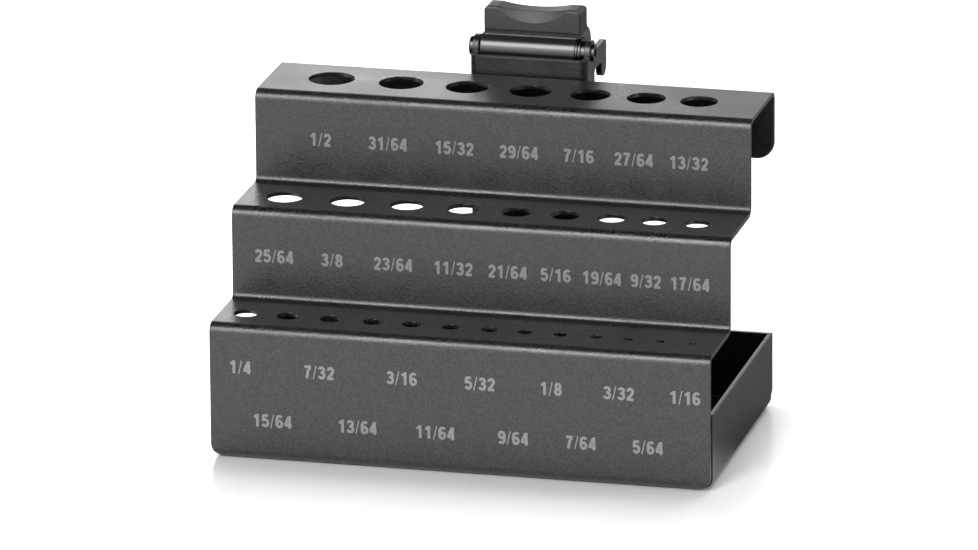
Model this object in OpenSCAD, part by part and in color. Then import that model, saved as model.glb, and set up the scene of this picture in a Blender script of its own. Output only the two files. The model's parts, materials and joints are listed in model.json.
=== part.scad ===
// Drill bit rack for a slat wall: a stepped rack folded from one sheet, a hook bracket behind it and a cam lever.
// Millimetres. +Z is up, -Y is the front, and the origin is under the middle of the whole, at the base.

/* [Rack] */
// Width of the rack
rack_w = 143.3; // [130:0.1:200]
// Thickness of the folded sheet with its coat
sheet_t = 1.1; // [0.8:0.1:2]
// Inside radius of every bend of the rack
bend_r = 1.7; // [0.8:0.1:2.5]
// Height of the low shelf, which is the height of the front panel
shelf_low_h = 39.2; // [34:0.1:60]
// Rise from one shelf to the next
shelf_rise = 26.6; // [16:0.1:50]
// Depth of the low shelf
shelf_low_d = 25.2; // [22:0.1:50]
// Depth of the middle shelf
shelf_mid_d = 26.4; // [22:0.1:50]
// Depth of the top shelf
shelf_top_d = 31.6; // [28:0.1:60]
// Height of the flange that turns down behind the top shelf
back_flange_h = 20; // [8:0.1:35]
// Radius of the lower corners of that flange
back_flange_corner_r = 5; // [1:0.1:6]
// Height of the tray's sides and back
tray_h = 21.5; // [10:0.1:30]
// Distance of the tray's back in front of the back flange
tray_inset = 2.8; // [0:0.1:5]
// Radius of the lower rear corners of the tray
tray_heel_r = 5; // [3:0.1:6]
// Radius of the lower corners of the front panel
front_corner_r = 4.2; // [1:0.1:6]
// Relief between the front bend and the tray's sides
corner_relief = 0.6; // [0.3:0.1:1.5]
// Gap between the tray's sides and its back
corner_gap = 0.2; // [0.1:0.05:0.5]

/* [Bit holes] */
// Difference in diameter from one drill bit to the next, one sixty-fourth of an inch
bit_d = 0.396875; // [0.38:0.000001:0.42]
// Play of a drill bit in its hole, on the diameter
hole_play = 0.4; // [0.2:0.05:0.8]
// Distance from the rack's end to the middle of the outermost holes of the low row
end_margin = 7.62; // [6:0.01:12]
// Middle of the low row behind the front of its shelf
row_low_set = 11.6; // [8:0.1:14]
// Middle of the middle row behind the front of its shelf
row_mid_set = 12.4; // [8:0.1:15]
// Middle of the top row behind the front of its shelf
row_top_set = 15.9; // [10:0.1:20]

/* [Bracket] */
// Gap on each side between the lever's pad and the bracket
pad_gap = 1.3; // [1:0.05:3]
// Thickness of the bracket's steel
bracket_t = 1.7; // [1.2:0.1:2.5]
// Inside radius of the bracket's bends
bracket_bend_r = 0.5; // [0.3:0.1:1.5]
// Depth of the bracket from its web to the wall
bracket_d = 9.8; // [9:0.1:14]
// Height of the bracket's lower end above the base
bracket_low = 3; // [1:0.1:15]
// Height of the web's upper edge above the top shelf
web_above = 4.8; // [3:0.1:12]
// Radius of the ears round the pin
ear_r = 3.6; // [3:0.1:5]
// Reach of the hooks behind the wall's face
hook_reach = 14.6; // [13:0.1:22]
// Thickness of the hooks' tips, front to back
hook_tip_t = 6; // [4:0.1:7]
// Height of the hooks' arms
hook_arm_h = 5.3; // [3:0.1:8]
// Drop of the tips below the arms
hook_drop = 4.9; // [3:0.1:8]
// Height of the arms' upper edge above the web's
hook_above = 0.4; // [-2:0.1:0.6]
// Radius of the hooks' lower rear corners
hook_heel_r = 3.2; // [1:0.1:3.5]
// Radius of the hooks' other outer corners
hook_corner_r = 1.8; // [0.5:0.1:2]
// Radius of the inner edge of the hooks' tips
hook_nose_r = 2.6; // [0.5:0.1:2.7]
// Radius of the corners in the hooks' notches
notch_r = 1.6; // [0.5:0.1:1.9]

/* [Pin] */
// Diameter of the pivot rivet
pin_d = 4; // [3:0.1:4.5]
// Height of the pin above the web's upper edge
pin_above = 0.7; // [0.5:0.1:2]
// Distance of the pin behind the web's front face
pin_back = 7.4; // [6.8:0.1:8]
// Diameter of the rivet's formed head, on the left
head_d = 5.7; // [5:0.1:7]
// Thickness of that head
head_t = 1.4; // [0.6:0.1:1.8]
// Diameter of the rivet's rolled end, on the right
roll_d = 5; // [4.6:0.1:6]
// Thickness of the rolled end
roll_t = 0.8; // [0.4:0.1:1.2]
// Diameter of the hollow in the rolled end
hollow_d = 2.4; // [1:0.1:2.8]
// Depth of that hollow
hollow_deep = 2; // [0.5:0.1:4]
// Play of the pin in the ears, on the radius
ear_play = 0.02; // [0.01:0.01:0.05]
// Play of the lever on the pin, on the radius
lever_play = 0.06; // [0.02:0.01:0.1]

/* [Lever] */
// Radius of the lever's barrel
barrel_r = 4.3; // [3.6:0.1:4.8]
// Gap between the barrel and the ear on the left
barrel_gap = 0.65; // [0.25:0.05:0.8]
// Length of the spacer between the barrel and the ear on the right
spacer_w = 2.45; // [2:0.05:3]
// Diameter of the spacer's collars
collar_d = 8.1; // [7:0.1:8.4]
// Diameter of the spacer beside its collars
spacer_d = 6.6; // [5:0.1:6.8]
// Thickness of the spacer's collars and of the groove between them
collar_t = 0.45; // [0.35:0.05:0.6]
// Gap on each face of the spacer
spacer_gap = 0.1; // [0.05:0.05:0.2]
// Width of the thumb pad
pad_w = 28.2; // [24:0.1:29]
// Height of the pad's upper edge above the pin
pad_top = 12.6; // [11:0.1:16]
// Height of the pad's lower lip above the pin
pad_lip = 5.6; // [5:0.1:7]
// Distance of the pad's front face in front of the pin
pad_front = 2.2; // [1.5:0.1:2.4]
// Distance of the pad's rear face behind the pin
pad_rear = 6.5; // [5:0.1:7]
// Step under the pad's lip
lip_step = 0.9; // [0.3:0.1:1.5]
// Radius of the pad's upper corners, seen from the front
pad_corner_r = 1.7; // [0.8:0.1:3]
// Radius of the pad's upright edges
pad_edge_r = 0.8; // [0.3:0.1:1.2]
// Radius of the pad's upper edge at the front
pad_rim_r = 0.8; // [0.3:0.1:1.5]
// Radius of the pad's upper edge at the rear
pad_crown_r = 2.6; // [0.5:0.1:4]
// Dip of the pad's upper edge in the middle
saddle_dip = 1.05; // [0.5:0.05:2]
// Radius of that dip, seen from the front
saddle_r = 50; // [40:1:80]
// Height of the thumb scoop's lowest point above the pin
scoop_low = 8.3; // [7:0.1:9]
// Radius of the scoop's edge on the pad's front
scoop_edge_r = 14.9; // [12:0.1:18]
// Distance of the middle of the ball that cuts the scoop in front of the pad
scoop_away = 30; // [20:0.5:60]
// Radius of the cam lobe
lobe_r = 5.9; // [5:0.1:6]
// Distance of the lobe's middle behind the pin
lobe_back = 5.1; // [3:0.1:6]
// Angle of the lever, 0 when it is locked
lever_turn = 0; // [0:1:74]

/* [Hidden] */
$fn = 64;
// Overrun of every cut
over = 0.5;
paint = "#3b3b3d";
plastic = "#1d1d1f";
zinc = "#59595b";

// Places of the rack, front to back and upwards
bend_out = bend_r + sheet_t;
rack_d = shelf_low_d + shelf_mid_d + shelf_top_d;
total_d = rack_d + bracket_d + hook_reach;
front = -total_d / 2;
back = front + rack_d;
tray_back = back - tray_inset;
riser_mid = front + shelf_low_d;
riser_top = riser_mid + shelf_mid_d;
shelf_mid_h = shelf_low_h + shelf_rise;
shelf_top_h = shelf_mid_h + shelf_rise;
side_start = front + bend_out + corner_relief;
half_w = rack_w / 2;

// Places of the bracket and the lever
bracket_out = bracket_bend_r + bracket_t;
bracket_w = pad_w + 2 * (pad_gap + bracket_t);
web_top = shelf_top_h + web_above;
wall = back + bracket_d;
pin_y = back + pin_back;
pin_z = web_top + pin_above;
ear_in = bracket_w / 2 - bracket_t;
arm_top = web_top + hook_above;
arm_low = arm_top - hook_arm_h;
tip_low = arm_low - hook_drop;
hook_end = wall + hook_reach;
barrel_left = -ear_in + barrel_gap;
barrel_right = ear_in - spacer_w - 2 * spacer_gap;

// Rows of holes: each row falls by one gauge a hole, and its pitch falls in equal steps
first_gauge = 32;
top_count = 7;
mid_count = 9;
low_count = 13;
top_first = 20;
mid_first = 18;
low_first = 12;
mid_least = 12;
low_group = 3;
top_pitch = [for (k = [0 : top_count - 2]) top_first - k];
mid_pitch = [for (k = [0 : mid_count - 2]) max(mid_first - k, mid_least)];
low_pitch = [for (k = [0 : low_count - 2]) low_first - floor(k / low_group)];
function total(steps, upto) = upto <= 0 ? 0 : steps[upto - 1] + total(steps, upto - 1);
pitch_step = (rack_w - 2 * end_margin) / total(low_pitch, len(low_pitch));
function hole_x(steps, k) = pitch_step * (total(steps, k) - total(steps, len(steps)) / 2);
function hole_d(gauge) = gauge * bit_d + hole_play;

// Carries an outline drawn as depth and height across a width about the middle
module across(width) {
    translate([-width / 2, 0, 0])
        rotate([90, 0, 90])
            linear_extrude(width) children();
}

// A rectangle given by two corners
module area(low, high) {
    translate(low) square(high - low);
}

// A rectangle with a radius for each corner, from the lower left one round
module round_area(low, high, r) {
    difference() {
        area(low, high);
        corner_off([low[0], low[1]], [1, 1], r[0]);
        corner_off([high[0], low[1]], [-1, 1], r[1]);
        corner_off([high[0], high[1]], [-1, -1], r[2]);
        corner_off([low[0], high[1]], [1, -1], r[3]);
    }
}

// What rounding takes off a corner that opens towards the given signs
module corner_off(at, way, r) {
    if (r > 0)
        translate(at)
            scale([way[0], way[1]])
                difference() {
                    translate([-over, -over]) square(r + over);
                    translate([r, r]) circle(r = r);
                }
}

// A quarter of a bend: its middle, its inside radius, its sheet and the quarter that it fills
module bend(at, way, inner, sheet) {
    translate(at)
        scale([way[0], way[1]])
            intersection() {
                difference() {
                    circle(r = inner + sheet);
                    circle(r = inner);
                }
                square(inner + sheet);
            }
}

// One step of the rack, seen from the side: its shelf, the bend over its front and the face under it
module step_profile(face, top, shelf_end, face_low) {
    area([face + bend_out, top - sheet_t], [shelf_end, top]);
    bend([face + bend_out, top - bend_out], [-1, 1], bend_r, sheet_t);
    area([face, face_low], [face + sheet_t, top - bend_out]);
}

// The stepped strip, seen from the side, from the back flange down to the bend under the front panel
module strip_profile() {
    area([back - sheet_t, shelf_top_h - back_flange_h], [back, shelf_top_h - bend_out]);
    bend([back - bend_out, shelf_top_h - bend_out], [1, 1], bend_r, sheet_t);
    step_profile(riser_top, shelf_top_h, back - bend_out, shelf_mid_h + bend_r);
    bend([riser_top - bend_r, shelf_mid_h + bend_r], [1, -1], bend_r, sheet_t);
    step_profile(riser_mid, shelf_mid_h, riser_top - bend_r, shelf_low_h + bend_r);
    bend([riser_mid - bend_r, shelf_low_h + bend_r], [1, -1], bend_r, sheet_t);
    step_profile(front, shelf_low_h, riser_mid - bend_r, bend_out);
    bend([front + bend_out, bend_out], [-1, -1], bend_r, sheet_t);
}

// What the strip may fill, seen from the front: its lower corners are rounded
module strip_face(low, r) {
    rotate([90, 0, 0])
        linear_extrude(2 * total_d, center = true)
            round_area([-half_w, low], [half_w, shelf_top_h + over], [r, r, 0, 0]);
}

module strip() {
    intersection() {
        across(rack_w) strip_profile();
        union() {
            strip_face(shelf_top_h - back_flange_h, back_flange_corner_r);
            intersection() {
                strip_face(0, front_corner_r);
                across(rack_w) area([front - over, -over], [riser_top + bend_out, shelf_top_h + over]);
            }
        }
    }
}

// The tray from the side, from the bend under the front panel to its back
module tray_profile() {
    bend([front + bend_out, bend_out], [-1, -1], bend_r, sheet_t);
    area([front + bend_out, 0], [tray_back - bend_out, sheet_t]);
    bend([tray_back - bend_out, bend_out], [1, -1], bend_r, sheet_t);
    area([tray_back - sheet_t, bend_out], [tray_back, tray_h]);
}

// The tray from the front: its base, its sides and the bends between them
module tray_section() {
    area([bend_out - half_w, 0], [half_w - bend_out, sheet_t]);
    for (side = [-1, 1]) {
        bend([side * (half_w - bend_out), bend_out], [side, -1], bend_r, sheet_t);
        area([side * (half_w - sheet_t / 2) - sheet_t / 2, bend_out],
             [side * (half_w - sheet_t / 2) + sheet_t / 2, tray_h]);
    }
}

module tray() {
    side_end = tray_back - sheet_t - corner_gap;
    across(rack_w - 2 * bend_out) tray_profile();
    intersection() {
        across(rack_w) tray_profile();
        rotate([90, 0, 0])
            linear_extrude(2 * total_d, center = true)
                round_area([-half_w, 0], [half_w, tray_h], [tray_heel_r, tray_heel_r, 0, 0]);
        across(rack_w) area([side_end + corner_gap - bend_out, 0], [tray_back, tray_h]);
    }
    intersection() {
        rotate([90, 0, 0])
            linear_extrude(2 * total_d, center = true) tray_section();
        across(rack_w + 2 * over)
            round_area([side_start, 0], [side_end, tray_h], [0, tray_heel_r, 0, 0]);
    }
}

// One row of holes through a shelf
module hole_row(steps, gauge, y, top) {
    for (k = [0 : len(steps)])
        translate([hole_x(steps, k), y, top - sheet_t - over])
            cylinder(d = hole_d(gauge - k), h = sheet_t + 2 * over);
}

module rack_body() {
    color(paint)
        difference() {
            union() {
                strip();
                tray();
            }
            hole_row(top_pitch, first_gauge, riser_top + row_top_set, shelf_top_h);
            hole_row(mid_pitch, first_gauge - top_count, riser_mid + row_mid_set, shelf_mid_h);
            hole_row(low_pitch, first_gauge - top_count - mid_count, front + row_low_set, shelf_low_h);
        }
}

// The bracket's channel below its ears, seen from above
module channel_plan() {
    area([-bracket_w / 2 + bracket_out, back], [bracket_w / 2 - bracket_out, back + bracket_t]);
    for (side = [-1, 1])
        bend([side * (bracket_w / 2 - bracket_out), back + bracket_out], [side, -1], bracket_bend_r, bracket_t);
}

// A side of the bracket: the flange, the ear round the pin and the hook
module flange_profile() {
    area([back + bracket_out, bracket_low], [wall, web_top]);
    area([pin_y - ear_r, web_top - over], [pin_y + ear_r, pin_z]);
    translate([pin_y, pin_z]) circle(r = ear_r);
    difference() {
        round_area([wall - over, tip_low], [hook_end, arm_top], [0, hook_heel_r, hook_corner_r, 0]);
        round_area([wall, tip_low - notch_r], [hook_end - hook_tip_t, arm_low], [0, 0, notch_r, notch_r]);
        corner_off([hook_end - hook_tip_t, tip_low], [1, 1], hook_nose_r);
        area([wall - 2 * over, tip_low - over], [wall, arm_low]);
    }
    area([wall - over, arm_low], [pin_y + ear_r, arm_top]);
}

module hook_bracket() {
    color(paint)
        difference() {
            union() {
                translate([0, 0, bracket_low])
                    linear_extrude(web_top - bracket_low) channel_plan();
                for (side = [-1, 1])
                    translate([side * (bracket_w - bracket_t) / 2, 0, 0])
                        across(bracket_t) flange_profile();
            }
            along_pin() cylinder(r = pin_d / 2 + ear_play, h = bracket_w + 2 * over, center = true);
        }
}

// Turns what is drawn about Z on to the pin's axis, with up turned to the right
module along_pin() {
    translate([0, pin_y, pin_z]) rotate([0, 90, 0]) children();
}

// The rivet: a formed head on the left and a rolled, hollow end on the right
module pivot_rivet() {
    color(zinc)
        along_pin()
            difference() {
                union() {
                    cylinder(d = pin_d, h = bracket_w, center = true);
                    translate([0, 0, -bracket_w / 2 - head_t]) rivet_head(head_d, head_t, head_t / 3);
                    translate([0, 0, bracket_w / 2 + roll_t]) mirror([0, 0, 1]) rivet_head(roll_d, roll_t, 0);
                }
                translate([0, 0, bracket_w / 2 + roll_t - hollow_deep]) cylinder(d = hollow_d, h = hollow_deep + over);
            }
}

// A low head whose outer edge has the given radius
module rivet_head(d, t, r) {
    rotate_extrude()
        intersection() {
            area([0, 0], [d / 2, t]);
            round_area([-d / 2, 0], [d / 2, t + over], [r, r, 0, 0]);
        }
}

// The grooved spacer between the barrel and the ear on the right
module lever_spacer() {
    color(zinc)
        along_pin()
            translate([0, 0, barrel_right + spacer_gap])
                difference() {
                    union() {
                        cylinder(d = spacer_d, h = spacer_w);
                        cylinder(d = collar_d, h = collar_t);
                        translate([0, 0, 2 * collar_t]) cylinder(d = collar_d, h = collar_t);
                    }
                    translate([0, 0, -over]) cylinder(r = pin_d / 2 + lever_play, h = spacer_w + 2 * over);
                }
}

// The lever's outline from the side, about the pin: the neck under the pad and the cam lobe
module neck_profile() {
    area([lip_step - pad_front, 0], [pad_rear, pad_lip + pad_edge_r]);
    translate([lobe_back, 0]) circle(r = lobe_r);
}

// The pad as the common part of its views from the side, the front and above, with a saddle on top
module pad() {
    r = pad_edge_r;
    c = pad_corner_r;
    intersection() {
        across(2 * pad_w)
            round_area([-pad_front, pad_lip], [pad_rear, pad_top], [r / 2, 0, pad_crown_r, pad_rim_r]);
        rotate([90, 0, 0])
            linear_extrude(2 * (pad_front + pad_rear), center = true)
                round_area([-pad_w / 2, 0], [pad_w / 2, pad_top], [0, 0, c, c]);
        linear_extrude(pad_top + over)
            round_area([-pad_w / 2, -pad_front], [pad_w / 2, pad_rear], [r, r, r, r]);
        saddle();
    }
}

// A thick ring about a line over the pad: its inner face, with rounded edges, is the saddle
module saddle() {
    translate([0, pad_rear, pad_top - saddle_dip + saddle_r])
        rotate([90, 0, 0])
            rotate_extrude()
                round_area([saddle_r, 0], [saddle_r + 2 * pad_top, pad_front + pad_rear],
                           [pad_crown_r, 0, 0, pad_rim_r]);
}

// The thumb scoop: a ball in front of the pad
module scoop() {
    translate([0, -pad_front - scoop_away, scoop_low + scoop_edge_r])
        sphere(r = sqrt(scoop_away * scoop_away + scoop_edge_r * scoop_edge_r));
}

module cam_lever() {
    color(plastic)
        translate([0, pin_y, pin_z])
            rotate([lever_turn, 0, 0])
                difference() {
                    union() {
                        translate([barrel_left, 0, 0])
                            rotate([0, 90, 0]) cylinder(r = barrel_r, h = barrel_right - barrel_left);
                        across(pad_w) neck_profile();
                        pad();
                    }
                    scoop();
                    rotate([0, 90, 0]) cylinder(r = pin_d / 2 + lever_play, h = bracket_w, center = true);
                    translate([barrel_right, 0, 0]) rotate([0, 90, 0]) cylinder(r = barrel_r, h = pad_w);
                }
}

rack_body();
hook_bracket();
pivot_rivet();
cam_lever();
lever_spacer();
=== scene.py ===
"""Looks for the stepped drill bit rack: coat, moulded lever, steel pivot, printed sizes and a white studio.

Each look is a group of properties on the scene, and each step that uses one is an operator.
"""

import json
import math

import bpy
import numpy as np
from bpy.props import FloatProperty, FloatVectorProperty, PointerProperty, StringProperty
from mathutils import Matrix, Vector


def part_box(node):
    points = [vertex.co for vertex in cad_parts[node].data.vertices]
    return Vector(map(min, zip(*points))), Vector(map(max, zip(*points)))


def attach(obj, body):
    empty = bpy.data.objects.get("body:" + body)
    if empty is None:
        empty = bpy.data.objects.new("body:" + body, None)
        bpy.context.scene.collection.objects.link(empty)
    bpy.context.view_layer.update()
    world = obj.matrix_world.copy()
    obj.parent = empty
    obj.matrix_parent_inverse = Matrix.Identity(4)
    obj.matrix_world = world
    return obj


bl_info = {
    "name": "Drill Bit Rack",
    "version": (1, 0, 0),
    "blender": (4, 5, 0),
    "location": "View3D > Sidebar > Drill Bit Rack",
    "description": "Finishes a stepped drill bit rack and its cam lock, prints its hole sizes and lights it",
    "category": "Object",
}

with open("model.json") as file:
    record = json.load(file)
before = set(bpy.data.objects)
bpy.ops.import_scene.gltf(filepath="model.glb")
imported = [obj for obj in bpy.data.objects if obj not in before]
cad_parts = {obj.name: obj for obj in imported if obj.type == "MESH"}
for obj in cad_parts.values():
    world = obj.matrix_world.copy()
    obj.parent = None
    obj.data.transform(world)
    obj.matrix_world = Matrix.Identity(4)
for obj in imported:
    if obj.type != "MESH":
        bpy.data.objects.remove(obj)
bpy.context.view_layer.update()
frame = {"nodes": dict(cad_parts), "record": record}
MOUNTS = {mount["name"]: mount for mount in frame["record"]["mounts"]}
MM = 0.001

# Colour sockets of a Mix node, by number, because its number sockets have the same names
MIX_LOW, MIX_HIGH, MIX_OUT = 6, 7, 2

# Width of a numeral's box, in shares of the cap height
GLYPH_WIDTH = 0.58

# Heights of the prints' base lines above the base of the rack, in metres
TOP_BASE, MIDDLE_BASE, UPPER_BASE, LOWER_BASE = 0.07713, 0.05013, 0.02515, 0.00995

# How far the two upper faces stand behind the front panel, in metres
TOP_SETBACK, MIDDLE_SETBACK = 0.0516, 0.0252

# Holes above these heights are in the top shelf or in the middle shelf, in metres
TOP_OVER, MIDDLE_OVER = 0.09, 0.06

# Sizes on the lower of the front panel's two lines
LOWER_LINE = ("15/64", "13/64", "11/64", "9/64", "7/64", "5/64")

# How far a print stands to the right of its hole, in millimetres
PRINT_NUDGE = {
    "1/2": 0.7, "29/64": 0.4, "7/16": 0.4, "13/32": 0.6, "3/8": -1.5, "23/64": -1.1,
    "21/64": 0.4, "9/32": 0.4, "17/64": 0.8, "1/4": 1.2, "7/32": -0.4, "1/16": 0.5,
    "15/64": -1.9, "13/64": -1.7, "11/64": -1.7, "9/64": -0.7, "7/64": -1.7, "5/64": -0.9,
}


# Colours and nodes

def linear(code):
    """An sRGB hex colour as linear red, green, blue and alpha."""
    parts = np.array([int(code[k:k + 2], 16) for k in (1, 3, 5)]) / 255
    parts = np.where(parts <= 0.04045, parts / 12.92, ((parts + 0.055) / 1.055) ** 2.4)
    return (*parts.tolist(), 1.0)


def add_node(tree, kind, settings=None, links=None):
    """Adds a shader node, sets its properties or sockets and links its inputs."""
    node = tree.nodes.new(kind)
    for key, value in (settings or {}).items():
        if isinstance(key, str) and hasattr(node, key):
            setattr(node, key, value)
        else:
            node.inputs[key].default_value = value
    for key, source in (links or {}).items():
        tree.links.new(source, node.inputs[key])
    return node


def new_material(name):
    """An empty node material and its tree."""
    material = bpy.data.materials.new(name)
    material.use_nodes = True
    material.node_tree.nodes.clear()
    return material, material.node_tree


def finish_with(tree, shader):
    """Links a shader to the material's output."""
    add_node(tree, "ShaderNodeOutputMaterial", links={"Surface": shader})


def give(node_name, material):
    """Puts a material on a CAD node, which keeps its shape."""
    piece = frame["nodes"][node_name]
    piece.data.materials.clear()
    piece.data.materials.append(material)


def powder_coat(look):
    """Polyester powder coat on steel, sprayed and baked: a satin skin with a fine grain and a soft sheen.

    The real grain is about 0.3 mm wide. It's drawn twice as coarse, because it wouldn't show in the render.
    """
    cloud_size = 25 * MM
    cloud_low, cloud_high = 0.3, 0.7
    speck_low, speck_high = 0.42, 0.58
    smoother, rougher = 0.04, 0.05
    material, tree = new_material("textured_powder_coat")
    where = add_node(tree, "ShaderNodeTexCoord").outputs["Object"]
    grain = add_node(tree, "ShaderNodeTexNoise",
                     {"Scale": 1 / look.grain_size, "Detail": 3.0, "Roughness": 0.6}, {"Vector": where})
    peel = add_node(tree, "ShaderNodeTexNoise",
                    {"Scale": 1 / look.peel_size, "Detail": 2.0, "Roughness": 0.5}, {"Vector": where})
    cloud = add_node(tree, "ShaderNodeTexNoise", {"Scale": 1 / cloud_size, "Detail": 2.0}, {"Vector": where})
    speck = add_node(tree, "ShaderNodeMapRange", {"From Min": speck_low, "From Max": speck_high},
                     {"Value": grain.outputs["Fac"]})
    tint = add_node(tree, "ShaderNodeMix",
                    {"data_type": "RGBA",
                     MIX_LOW: linear(look.colour_dark), MIX_HIGH: linear(look.colour_light)},
                    {"Factor": speck.outputs["Result"]})
    rough = add_node(tree, "ShaderNodeMapRange",
                     {"From Min": cloud_low, "From Max": cloud_high,
                      "To Min": look.roughness - smoother, "To Max": look.roughness + rougher},
                     {"Value": cloud.outputs["Fac"]})
    edge = add_node(tree, "ShaderNodeBevel", {"samples": 4, "Radius": look.edge_radius})
    soft = add_node(tree, "ShaderNodeBump", {"Strength": 0.35, "Distance": look.peel_depth},
                    {"Height": peel.outputs["Fac"], "Normal": edge.outputs["Normal"]})
    fine = add_node(tree, "ShaderNodeBump", {"Strength": 1.0, "Distance": look.grain_depth},
                    {"Height": grain.outputs["Fac"], "Normal": soft.outputs["Normal"]})
    skin = add_node(tree, "ShaderNodeBsdfPrincipled", {"IOR": 1.5},
                    {"Base Color": tint.outputs[MIX_OUT], "Roughness": rough.outputs["Result"],
                     "Normal": fine.outputs["Normal"]})
    finish_with(tree, skin.outputs["BSDF"])
    return material


def moulded_plastic(look):
    """Glass-filled nylon, injection moulded: near black, semi-gloss on the barrel, eroded matt on the pad.

    The pad's eroded pits are drawn coarser than real ones, because those wouldn't show in the render.
    """
    texture_edge = 0.8 * MM
    pit_stretch = 0.4
    material, tree = new_material("moulded_black_nylon")
    where = add_node(tree, "ShaderNodeTexCoord").outputs["Object"]
    wave = add_node(tree, "ShaderNodeTexNoise", {"Scale": 1 / look.skin_size, "Detail": 3.0},
                    {"Vector": where})
    tint = add_node(tree, "ShaderNodeMix",
                    {"data_type": "RGBA",
                     MIX_LOW: linear(look.colour_dark), MIX_HIGH: linear(look.colour_light)},
                    {"Factor": wave.outputs["Fac"]})
    edge = add_node(tree, "ShaderNodeBevel", {"samples": 4, "Radius": look.edge_radius})
    bump = add_node(tree, "ShaderNodeBump", {"Strength": 0.4, "Distance": look.skin_depth},
                    {"Height": wave.outputs["Fac"], "Normal": edge.outputs["Normal"]})
    parts = add_node(tree, "ShaderNodeSeparateXYZ", links={0: where})
    on_pad = add_node(tree, "ShaderNodeMapRange",
                      {"From Min": look.eroded_from, "From Max": look.eroded_from + texture_edge},
                      {"Value": parts.outputs["Z"]})
    rough = add_node(tree, "ShaderNodeMapRange", {"To Min": look.roughness, "To Max": look.eroded_roughness},
                     {"Value": on_pad.outputs["Result"]})
    stretch = add_node(tree, "ShaderNodeMapping", {"Scale": (1.0, 1.0, pit_stretch)}, {"Vector": where})
    pits = add_node(tree, "ShaderNodeTexNoise", {"Scale": 1 / look.pit_size, "Detail": 2.0},
                    {"Vector": stretch.outputs["Vector"]})
    height = add_node(tree, "ShaderNodeMath", {"operation": "MULTIPLY"},
                      {0: pits.outputs["Fac"], 1: on_pad.outputs["Result"]})
    eroded = add_node(tree, "ShaderNodeBump", {"Strength": 1.0, "Distance": look.pit_depth},
                      {"Height": height.outputs["Value"], "Normal": bump.outputs["Normal"]})
    skin = add_node(tree, "ShaderNodeBsdfPrincipled", {"IOR": 1.53},
                    {"Base Color": tint.outputs[MIX_OUT], "Roughness": rough.outputs["Result"],
                     "Normal": eroded.outputs["Normal"]})
    finish_with(tree, skin.outputs["BSDF"])
    return material


def black_zinc(look):
    """Steel with a black zinc plate, turned: a dark metal that shows its rims as bright lines."""
    blotches_per_metre = 900.0
    material, tree = new_material("black_zinc_steel")
    where = add_node(tree, "ShaderNodeTexCoord").outputs["Object"]
    blotch = add_node(tree, "ShaderNodeTexNoise", {"Scale": blotches_per_metre, "Detail": 3.0},
                      {"Vector": where})
    tint = add_node(tree, "ShaderNodeMix",
                    {"data_type": "RGBA",
                     MIX_LOW: linear(look.steel_dark), MIX_HIGH: linear(look.steel_light)},
                    {"Factor": blotch.outputs["Fac"]})
    rough = add_node(tree, "ShaderNodeMapRange",
                     {"To Min": look.steel_roughness_low, "To Max": look.steel_roughness_high},
                     {"Value": blotch.outputs["Fac"]})
    skin = add_node(tree, "ShaderNodeBsdfPrincipled", {"Metallic": 1.0},
                    {"Base Color": tint.outputs[MIX_OUT], "Roughness": rough.outputs["Result"]})
    finish_with(tree, skin.outputs["BSDF"])
    return material


def screen_ink(look):
    """Screen-printed grey ink over the coat: matt, thin enough for the coat's grain to show through."""
    grain_height = 0.02 * MM
    material, tree = new_material("printed_grey_ink")
    where = add_node(tree, "ShaderNodeTexCoord").outputs["Object"]
    grain = add_node(tree, "ShaderNodeTexNoise", {"Scale": 1 / look.ink_grain, "Detail": 3.0},
                     {"Vector": where})
    tint = add_node(tree, "ShaderNodeMix",
                    {"data_type": "RGBA", MIX_LOW: linear(look.ink_dark), MIX_HIGH: linear(look.ink_light)},
                    {"Factor": grain.outputs["Fac"]})
    bump = add_node(tree, "ShaderNodeBump", {"Strength": 0.5, "Distance": grain_height},
                    {"Height": grain.outputs["Fac"]})
    skin = add_node(tree, "ShaderNodeBsdfPrincipled", {"Roughness": look.ink_roughness},
                    {"Base Color": tint.outputs[MIX_OUT], "Normal": bump.outputs["Normal"]})
    finish_with(tree, skin.outputs["BSDF"])
    return material


# Printed sizes

def line(*points):
    """A stroke's centreline through the given points, in shares of the cap height."""
    return np.array(points, float)


def bow(cx, cy, rx, ry, start, end, count=22):
    """Part of an ellipse about (cx, cy), from one angle in degrees to another."""
    turn = np.radians(np.linspace(start, end, count))
    return np.stack([cx + rx * np.cos(turn), cy + ry * np.sin(turn)], axis=1)


def ring(cx, cy, rx, ry):
    """A whole ellipse about (cx, cy)."""
    return bow(cx, cy, rx, ry, 0, 360, 40)


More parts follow.
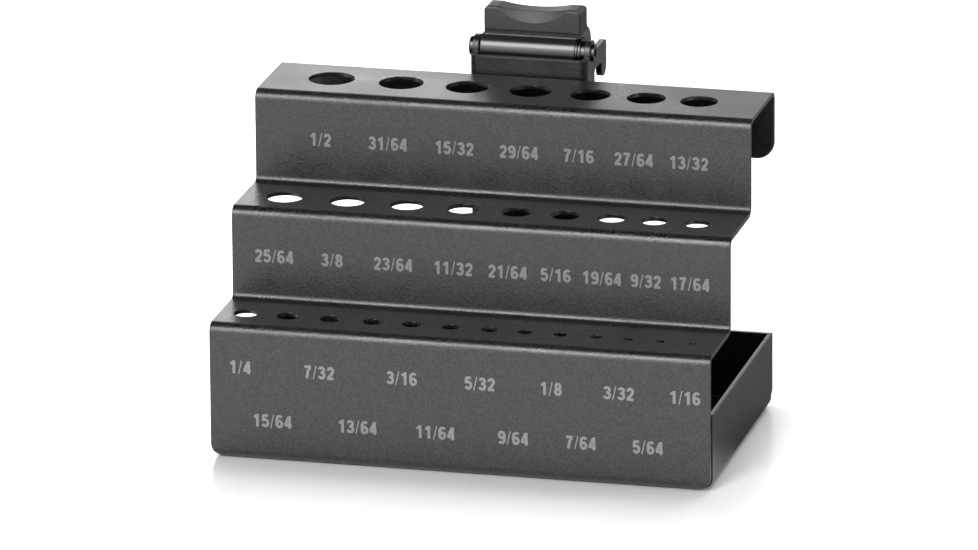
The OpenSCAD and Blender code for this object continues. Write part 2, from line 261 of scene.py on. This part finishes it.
def glyph(mark):
    """The strokes of one bold condensed numeral: centrelines in a box GLYPH_WIDTH wide and 1 high."""
    if mark == "1":
        return [line((0.34, 0), (0.34, 1)), line((0.07, 0.76), (0.2, 0.785), (0.29, 0.9))]
    if mark == "2":
        neck = line((0.32, 0.38), (0.13, 0.17), (0.12, 0.09))
        return [np.vstack([bow(0.29, 0.68, 0.18, 0.225, 175, -20), neck]), line((0.04, 0.09), (0.52, 0.09))]
    if mark == "3":
        return [bow(0.27, 0.72, 0.18, 0.185, 165, -90), bow(0.27, 0.3, 0.2, 0.21, 90, -165),
                line((0.2, 0.52), (0.3, 0.52))]
    if mark == "4":
        return [line((0.41, 0), (0.41, 1)), line((0.02, 0.26), (0.56, 0.26)), line((0.37, 0.94), (0.08, 0.3))]
    if mark == "5":
        return [line((0.12, 0.91), (0.5, 0.91)), line((0.14, 0.95), (0.11, 0.47)),
                bow(0.28, 0.34, 0.2, 0.25, 140, -160)]
    if mark == "6":
        hook = np.vstack([bow(0.31, 0.66, 0.21, 0.25, 40, 180), line((0.1, 0.33))])
        return [ring(0.29, 0.31, 0.19, 0.22), hook]
    if mark == "7":
        return [line((0.04, 0.91), (0.54, 0.91)), line((0.47, 0.88), (0.3, 0.55), (0.2, 0))]
    if mark == "8":
        return [ring(0.29, 0.725, 0.165, 0.185), ring(0.29, 0.295, 0.19, 0.205)]
    if mark == "9":
        return [np.array([GLYPH_WIDTH, 1]) - stroke for stroke in glyph("6")]
    raise ValueError(f"no glyph for {mark}")


def slash(half):
    """The thin bar between a fraction's two numbers, and half its width."""
    thin = 0.42
    return line((0.03, -0.03), (0.27, 1.03)), half * thin


def ribbon(path, half, back, front):
    """A flat bar with closed ends: the path shifted by half its width each way, between two depths."""
    along = np.gradient(path, axis=0)
    along /= np.linalg.norm(along, axis=1, keepdims=True)
    side = np.stack([-along[:, 1], along[:, 0]], axis=1) * half
    left, right = path + side, path - side
    count = len(path)
    rim = np.stack([np.column_stack([left[:, 0], np.full(count, front), left[:, 1]]),
                    np.column_stack([right[:, 0], np.full(count, front), right[:, 1]]),
                    np.column_stack([right[:, 0], np.full(count, back), right[:, 1]]),
                    np.column_stack([left[:, 0], np.full(count, back), left[:, 1]])], axis=1)
    step = np.arange(count - 1)[:, None] * 4
    corner = np.arange(4)[None, :]
    after = (corner + 1) % 4
    quads = np.stack([step + corner, step + 4 + corner, step + 4 + after, step + after], axis=2)
    caps = np.array([[0, 1, 2, 3], [4 * count - 1, 4 * count - 2, 4 * count - 3, 4 * count - 4]])
    return rim.reshape(-1, 3), np.vstack([quads.reshape(-1, 4), caps])


def printed_label(text, middle, base, face, look):
    """The bars of one printed size, centred at middle on a face, standing on its base line."""
    cap, half = look.cap_height, look.stroke_share / 2
    steps = [look.slash_share if mark == "/" else look.advance_share for mark in text]
    start = middle - (sum(steps) - (look.advance_share - GLYPH_WIDTH)) * cap / 2
    bars = []
    for mark, step in zip(text, steps):
        strokes = [slash(half)] if mark == "/" else [(path, half) for path in glyph(mark)]
        for order, (path, width) in enumerate(strokes):
            placed = path * cap + np.array([start, base])
            front = face - look.ink_height - order * look.stroke_lift
            bars.append(ribbon(placed, width * cap, face + look.ink_sink, front))
        start += step * cap
    return bars


def mesh_piece(name, parts, material, body):
    """One object from several sets of points and faces, shaded flat, riding on a body."""
    points, faces, offset = [], [], 0
    for part_points, part_faces in parts:
        points.append(part_points)
        faces.extend((part_faces + offset).tolist())
        offset += len(part_points)
    mesh = bpy.data.meshes.new(name)
    mesh.from_pydata(np.vstack(points).tolist(), [], faces)
    mesh.materials.append(material)
    mesh.validate()
    piece = bpy.data.objects.new(name, mesh)
    bpy.context.scene.collection.objects.link(piece)
    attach(piece, body)


# Stage

def build_floor(look):
    """A large glossy white table: it fades to white, keeps the rack's shadow and mirrors it faintly.

    The object sees it white in front and darker under and behind the rack, where shade is painted into its
    colour. The camera sees it evenly white.
    """
    half = 6.0
    below_rack = 0.05 * MM
    front_y, rear_y = -60 * MM, -10 * MM
    front_tone, painted_shade_tone = 1.0, 0.13
    mesh = bpy.data.meshes.new("floor")
    corners = [(-half, -half, 0), (half, -half, 0), (half, half, 0), (-half, half, 0)]
    mesh.from_pydata(corners, [], [(0, 1, 2, 3)])
    material, tree = new_material("white_acrylic_table")
    path = add_node(tree, "ShaderNodeLightPath")
    where = add_node(tree, "ShaderNodeTexCoord").outputs["Object"]
    parts = add_node(tree, "ShaderNodeSeparateXYZ", links={0: where})
    # Painted shade: to every ray but the camera's, the floor turns from white 60 mm in front of the origin to
    # dark grey 10 mm in front of it. It stays dark under and behind the rack, where the rack's shadow falls.
    fade = add_node(tree, "ShaderNodeMapRange",
                    {"From Min": front_y, "From Max": rear_y, "To Min": front_tone, "To Max": painted_shade_tone},
                    {"Value": parts.outputs["Y"]})
    matt = add_node(tree, "ShaderNodeBsdfDiffuse", links={"Color": fade.outputs[0]})
    pale = add_node(tree, "ShaderNodeBsdfDiffuse", {"Color": (*[look.table_white] * 3, 1)})
    mirror = add_node(tree, "ShaderNodeBsdfGlossy",
                      {"Color": (*[look.table_mirror] * 3, 1), "Roughness": look.table_roughness})
    seen = add_node(tree, "ShaderNodeAddShader", links={0: pale.outputs[0], 1: mirror.outputs[0]})
    pick = add_node(tree, "ShaderNodeMixShader",
                    links={0: path.outputs["Is Camera Ray"], 1: matt.outputs[0], 2: seen.outputs[0]})
    finish_with(tree, pick.outputs[0])
    mesh.materials.append(material)
    floor = bpy.data.objects.new("floor", mesh)
    floor.location = (0, 0, -below_rack)
    bpy.context.scene.collection.objects.link(floor)


def build_world(look):
    """White all round to the camera and low in reflections, darker overhead, and dim as a light."""
    fade_from, fade_to = 0.3, 0.6
    low_tone, overhead_tone = 1.0, 0.03
    white = (1, 1, 1, 1)
    world = bpy.data.worlds.new("white_studio")
    bpy.context.scene.world = world
    world.use_nodes = True
    tree = world.node_tree
    tree.nodes.clear()
    path = add_node(tree, "ShaderNodeLightPath")
    where = add_node(tree, "ShaderNodeTexCoord").outputs["Generated"]
    parts = add_node(tree, "ShaderNodeSeparateXYZ", links={0: where})
    height = add_node(tree, "ShaderNodeMapRange",
                      {"interpolation_type": "SMOOTHSTEP", "From Min": fade_from, "From Max": fade_to,
                       "To Min": low_tone, "To Max": overhead_tone}, {"Value": parts.outputs["Z"]})
    mirrored = add_node(tree, "ShaderNodeBackground", {"Color": white}, {"Strength": height.outputs[0]})
    dim = add_node(tree, "ShaderNodeBackground", {"Color": white, "Strength": look.world_fill})
    bright = add_node(tree, "ShaderNodeBackground", {"Color": white, "Strength": 1.0})
    unseen = add_node(tree, "ShaderNodeMixShader",
                      links={0: path.outputs["Is Glossy Ray"], 1: dim.outputs[0], 2: mirrored.outputs[0]})
    clear = add_node(tree, "ShaderNodeMath", {"operation": "MAXIMUM"},
                     {0: path.outputs["Is Camera Ray"], 1: path.outputs["Is Transmission Ray"]})
    every = add_node(tree, "ShaderNodeMixShader",
                     links={0: clear.outputs[0], 1: unseen.outputs[0], 2: bright.outputs[0]})
    add_node(tree, "ShaderNodeOutputWorld", links={"Surface": every.outputs[0]})


def add_lamp(name, power, place, aim, size, mirrored):
    """A soft box that faces a point at the aim height over the origin, of a width and a height in metres.

    The camera never sees it. Surfaces mirror it if mirrored is true.
    """
    lamp = bpy.data.lights.new(name, "AREA")
    lamp.shape = "RECTANGLE"
    lamp.size, lamp.size_y = size
    lamp.energy = power
    holder = bpy.data.objects.new(name, lamp)
    holder.location = place
    holder.rotation_euler = (Vector((0, 0, aim)) - Vector(place)).to_track_quat("-Z", "Y").to_euler()
    holder.visible_camera = False
    holder.visible_glossy = mirrored
    bpy.context.scene.collection.objects.link(holder)


def build_lamps(look):
    """Two soft boxes in front, a wide one high behind, a small one at each side and a low panel behind."""
    add_lamp("front_box", look.front_power, (-0.43, -1.75, 1.58), aim=0.06, size=(0.7, 1.2), mirrored=True)
    add_lamp("low_box", look.low_power, (-0.44, -1.8, 0.5), aim=0.06, size=(1.2, 0.6), mirrored=True)
    add_lamp("top_box", look.top_power, (0, 0.6, 1.04), aim=0.02, size=(1.0, 0.85), mirrored=False)
    add_lamp("left_box", look.left_power, (-1.15, 0.3, 0.85), aim=0.05, size=(0.7, 0.7), mirrored=False)
    add_lamp("right_box", look.right_power, (1.15, 0.1, 0.7), aim=0.05, size=(0.7, 0.7), mirrored=False)
    add_lamp("back_panel", look.back_power, (-1.0, 1.7, 0.6), aim=0.05, size=(1.2, 0.7), mirrored=True)


def build_camera(look):
    """A long lens that looks from the right front and above, as the photograph does."""
    a, e, r = look.azimuth, look.elevation, look.roll
    ahead = Vector((-math.sin(a) * math.cos(e), math.cos(a) * math.cos(e), -math.sin(e)))
    right = Vector((math.cos(a), math.sin(a), 0))
    up = right.cross(ahead)
    turned_right = right * math.cos(r) + up * math.sin(r)
    turned_up = up * math.cos(r) - right * math.sin(r)
    camera = bpy.data.cameras.new("long_lens")
    camera.sensor_width = 36.0
    camera.lens = look.lens
    camera.clip_start = 0.05
    camera.clip_end = 100.0
    holder = bpy.data.objects.new("long_lens", camera)
    turn = Matrix((turned_right, turned_up, -ahead)).transposed().to_4x4()
    place = Vector(look.target) - ahead * look.distance
    holder.matrix_world = Matrix.Translation(place) @ turn
    bpy.context.scene.collection.objects.link(holder)
    bpy.context.scene.camera = holder


# Properties

class CoatLook(bpy.types.PropertyGroup):
    """How the coated sheet looks."""
    colour_dark: StringProperty(name="Coat colour, low", description="sRGB hex of the coat in its pits",
                                default="#020202")
    colour_light: StringProperty(name="Coat colour, high", description="sRGB hex of the coat on its grain",
                                 default="#1e1e1e")
    roughness: FloatProperty(name="Roughness", description="Roughness of the coat", default=0.29,
                             min=0.05, max=1.0)
    grain_size: FloatProperty(name="Grain size", description="Distance between grains, drawn coarse",
                              default=0.0006, min=0.0001, max=0.003, unit="LENGTH")
    grain_depth: FloatProperty(name="Grain depth", description="Height of the grain",
                               default=0.00009, min=0.0, max=0.0005, unit="LENGTH")
    peel_size: FloatProperty(name="Peel size", description="Distance between the coat's soft waves",
                             default=0.0022, min=0.0005, max=0.01, unit="LENGTH")
    peel_depth: FloatProperty(name="Peel depth", description="Height of the coat's soft waves",
                              default=0.00003, min=0.0, max=0.0005, unit="LENGTH")
    edge_radius: FloatProperty(name="Edge radius", description="Rounding that the coat gives a cut edge",
                               default=0.00045, min=0.0, max=0.001, unit="LENGTH")


class LockLook(bpy.types.PropertyGroup):
    """How the cam lever and its pivot look."""
    colour_dark: StringProperty(name="Plastic colour, low", description="sRGB hex of the lever, darker",
                                default="#121212")
    colour_light: StringProperty(name="Plastic colour, high", description="sRGB hex of the lever, lighter",
                                 default="#1b1b1b")
    roughness: FloatProperty(name="Roughness", description="Roughness of the lever's barrel", default=0.27,
                             min=0.05, max=1.0)
    eroded_roughness: FloatProperty(name="Pad roughness", description="Roughness of the pad's eroded texture",
                                    default=0.5, min=0.05, max=1.0)
    eroded_from: FloatProperty(name="Pad texture from", description="Height where the eroded texture starts",
                               default=0.1025, min=0.09, max=0.12, unit="LENGTH")
    pit_size: FloatProperty(name="Pad texture size", description="Width of the texture's pits, drawn coarse",
                            default=0.0006, min=0.0001, max=0.003, unit="LENGTH")
    pit_depth: FloatProperty(name="Pad texture depth", description="Depth of the eroded texture's pits",
                             default=0.00012, min=0.0, max=0.001, unit="LENGTH")
    skin_size: FloatProperty(name="Skin wave", description="Distance between the waves of the moulded skin",
                             default=0.0012, min=0.0002, max=0.01, unit="LENGTH")
    skin_depth: FloatProperty(name="Skin depth", description="Height of those waves",
                              default=0.00003, min=0.0, max=0.0003, unit="LENGTH")
    edge_radius: FloatProperty(name="Edge radius", description="Rounding of the lever's edges",
                               default=0.0004, min=0.0, max=0.001, unit="LENGTH")
    steel_dark: StringProperty(name="Steel, low", description="sRGB hex of the pivot, darker",
                               default="#2c2c2c")
    steel_light: StringProperty(name="Steel, high", description="sRGB hex of the pivot, lighter",
                                default="#505050")
    steel_roughness_low: FloatProperty(name="Steel roughness, low", description="Where it's smoothest",
                                       default=0.24, min=0.05, max=1.0)
    steel_roughness_high: FloatProperty(name="Steel roughness, high", description="Where it's roughest",
                                        default=0.42, min=0.05, max=1.0)


class PrintLook(bpy.types.PropertyGroup):
    """Size, place and colour of the printed hole sizes."""
    cap_height: FloatProperty(name="Cap height", description="Height of the numerals",
                              default=0.00375, min=0.001, max=0.01, unit="LENGTH")
    stroke_share: FloatProperty(name="Stroke", description="Stroke width over cap height", default=0.21,
                                min=0.05, max=0.3)
    advance_share: FloatProperty(name="Advance", description="Numeral pitch over cap height", default=0.665,
                                 min=0.4, max=1.2)
    slash_share: FloatProperty(name="Slash advance", description="Slash pitch over cap height", default=0.41,
                               min=0.2, max=0.8)
    ink_height: FloatProperty(name="Ink height", description="Thickness of the ink over the coat",
                              default=0.00003, min=0.0, max=0.0002, unit="LENGTH")
    stroke_lift: FloatProperty(name="Stroke lift", description="How far each next stroke stands out",
                               default=0.000004, min=0.0, max=0.00005, unit="LENGTH")
    ink_sink: FloatProperty(name="Ink seat", description="How far the ink's solid reaches into the coat",
                            default=0.00005, min=0.0, max=0.0002, unit="LENGTH")
    ink_grain: FloatProperty(name="Ink grain", description="Distance between grains seen through the ink",
                             default=0.0006, min=0.0001, max=0.003, unit="LENGTH")
    ink_roughness: FloatProperty(name="Ink roughness", description="Roughness of the ink", default=0.6,
                                 min=0.05, max=1.0)
    ink_dark: StringProperty(name="Ink colour, low", description="sRGB hex of the ink, darker",
                             default="#5a5a5a")
    ink_light: StringProperty(name="Ink colour, high", description="sRGB hex of the ink, lighter",
                              default="#727272")


class StageLook(bpy.types.PropertyGroup):
    """Camera, lights and table."""
    azimuth: FloatProperty(name="Azimuth", description="Camera's turn round the rack, to the right",
                           default=math.radians(14.027), subtype="ANGLE")
    elevation: FloatProperty(name="Elevation", description="Camera's height over the horizon",
                             default=math.radians(17.3), subtype="ANGLE")
    roll: FloatProperty(name="Roll", description="Camera's roll",
                        default=math.radians(-0.419), subtype="ANGLE")
    distance: FloatProperty(name="Distance", description="Camera's distance from its target",
                            default=2.827512, min=0.5, max=10.0, unit="LENGTH")
    target: FloatVectorProperty(name="Target", description="Point in the middle of the picture",
                                default=(-0.000519, -0.0158, 0.046682), subtype="XYZ", unit="LENGTH")
    lens: FloatProperty(name="Lens", description="Focal length in millimetres on a 36 mm sensor",
                        default=370.75, min=20.0, max=800.0)
    front_power: FloatProperty(name="Front light", description="Power of the tall soft box in front",
                               default=54.0, min=0.0, max=500.0)
    low_power: FloatProperty(name="Low light", description="Power of the low soft box in front",
                             default=8.0, min=0.0, max=500.0)
    top_power: FloatProperty(name="Top light", description="Power of the wide soft box high behind",
                             default=20.0, min=0.0, max=500.0)
    left_power: FloatProperty(name="Left light", description="Power of the small soft box at the left",
                              default=1.8, min=0.0, max=500.0)
    right_power: FloatProperty(name="Right light", description="Power of the small soft box at the right",
                               default=9.0, min=0.0, max=500.0)
    back_power: FloatProperty(name="Back light", description="Power of the panel behind the rack",
                              default=6.5, min=0.0, max=500.0)
    world_fill: FloatProperty(name="World fill", description="Strength of the world as a light",
                              default=0.4, min=0.0, max=1.0)
    table_white: FloatProperty(name="Table white", description="How white the camera sees the table",
                               default=0.46, min=0.0, max=1.0)
    table_mirror: FloatProperty(name="Table mirror", description="How much the table mirrors for the camera",
                                default=0.25, min=0.0, max=1.0)
    table_roughness: FloatProperty(name="Table roughness", description="Blur of the table's mirror image",
                                   default=0.2, min=0.0, max=1.0)


# Operators

class RACK_OT_coat_sheet(bpy.types.Operator):
    """Gives the folded rack and its bracket their powder coat"""
    bl_idname = "rack.coat_sheet"
    bl_label = "Coat the rack and bracket"

    def execute(self, context):
        coat = powder_coat(context.scene.rack_coat)
        give("rack_body", coat)
        give("hook_bracket", coat)
        return {"FINISHED"}


class RACK_OT_finish_lock(bpy.types.Operator):
    """Gives the cam lever its plastic and the rivet and spacer their plated steel"""
    bl_idname = "rack.finish_lock"
    bl_label = "Finish the lock"

    def execute(self, context):
        look = context.scene.rack_lock
        give("cam_lever", moulded_plastic(look))
        steel = black_zinc(look)
        give("pivot_rivet", steel)
        give("lever_spacer", steel)
        return {"FINISHED"}


class RACK_OT_print_sizes(bpy.types.Operator):
    """Prints the drill size of each hole on the face below it"""
    bl_idname = "rack.print_sizes"
    bl_label = "Print the sizes"

    def execute(self, context):
        look = context.scene.rack_print
        ink = screen_ink(look)
        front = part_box("rack_body")[0].y
        rows = {"top": [], "middle": [], "front": []}
        for name, mount in MOUNTS.items():
            if not name.startswith("bit_"):
                continue
            text = name.removeprefix("bit_").removesuffix("in").replace("_", "/")
            x, _, z = mount["pos_m"]
            if z > TOP_OVER:
                row, base, face = "top", TOP_BASE, front + TOP_SETBACK
            elif z > MIDDLE_OVER:
                row, base, face = "middle", MIDDLE_BASE, front + MIDDLE_SETBACK
            else:
                row, base, face = "front", LOWER_BASE if text in LOWER_LINE else UPPER_BASE, front
            rows[row] += printed_label(text, x + PRINT_NUDGE.get(text, 0.0) * MM, base, face, look)
        for row, parts in rows.items():
            mesh_piece(f"sizes_{row}", parts, ink, "rack")
        return {"FINISHED"}


class RACK_OT_build_stage(bpy.types.Operator):
    """Makes the white floor, the world, the lamps and the camera"""
    bl_idname = "rack.build_stage"
    bl_label = "Build the stage"

    def execute(self, context):
        look = context.scene.rack_stage
        build_floor(look)
        build_world(look)
        build_lamps(look)
        build_camera(look)
        context.scene.view_settings.view_transform = "Standard"
        return {"FINISHED"}


class RACK_PT_pieces(bpy.types.Panel):
    """Lists the steps that dress the rack"""
    bl_label = "Drill Bit Rack"
    bl_idname = "RACK_PT_pieces"
    bl_space_type = "VIEW_3D"
    bl_region_type = "UI"
    bl_category = "Drill Bit Rack"

    def draw(self, context):
        for step in STEPS:
            self.layout.operator(step.bl_idname)


STEPS = (RACK_OT_coat_sheet, RACK_OT_finish_lock, RACK_OT_print_sizes, RACK_OT_build_stage)
LOOKS = {"rack_coat": CoatLook, "rack_lock": LockLook, "rack_print": PrintLook, "rack_stage": StageLook}
CLASSES = (*LOOKS.values(), *STEPS, RACK_PT_pieces)


def register():
    """Registers the classes and hangs each group of properties on the scene."""
    for item in CLASSES:
        bpy.utils.register_class(item)
    for name, look in LOOKS.items():
        setattr(bpy.types.Scene, name, PointerProperty(type=look))


def unregister():
    """Takes the properties and the classes away again."""
    for name in LOOKS:
        delattr(bpy.types.Scene, name)
    for item in reversed(CLASSES):
        bpy.utils.unregister_class(item)


def main():
    """Registers the add-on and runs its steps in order."""
    register()
    for step in STEPS:
        group, name = step.bl_idname.split(".")
        getattr(getattr(bpy.ops, group), name)()


if __name__ == "__main__":
    main()
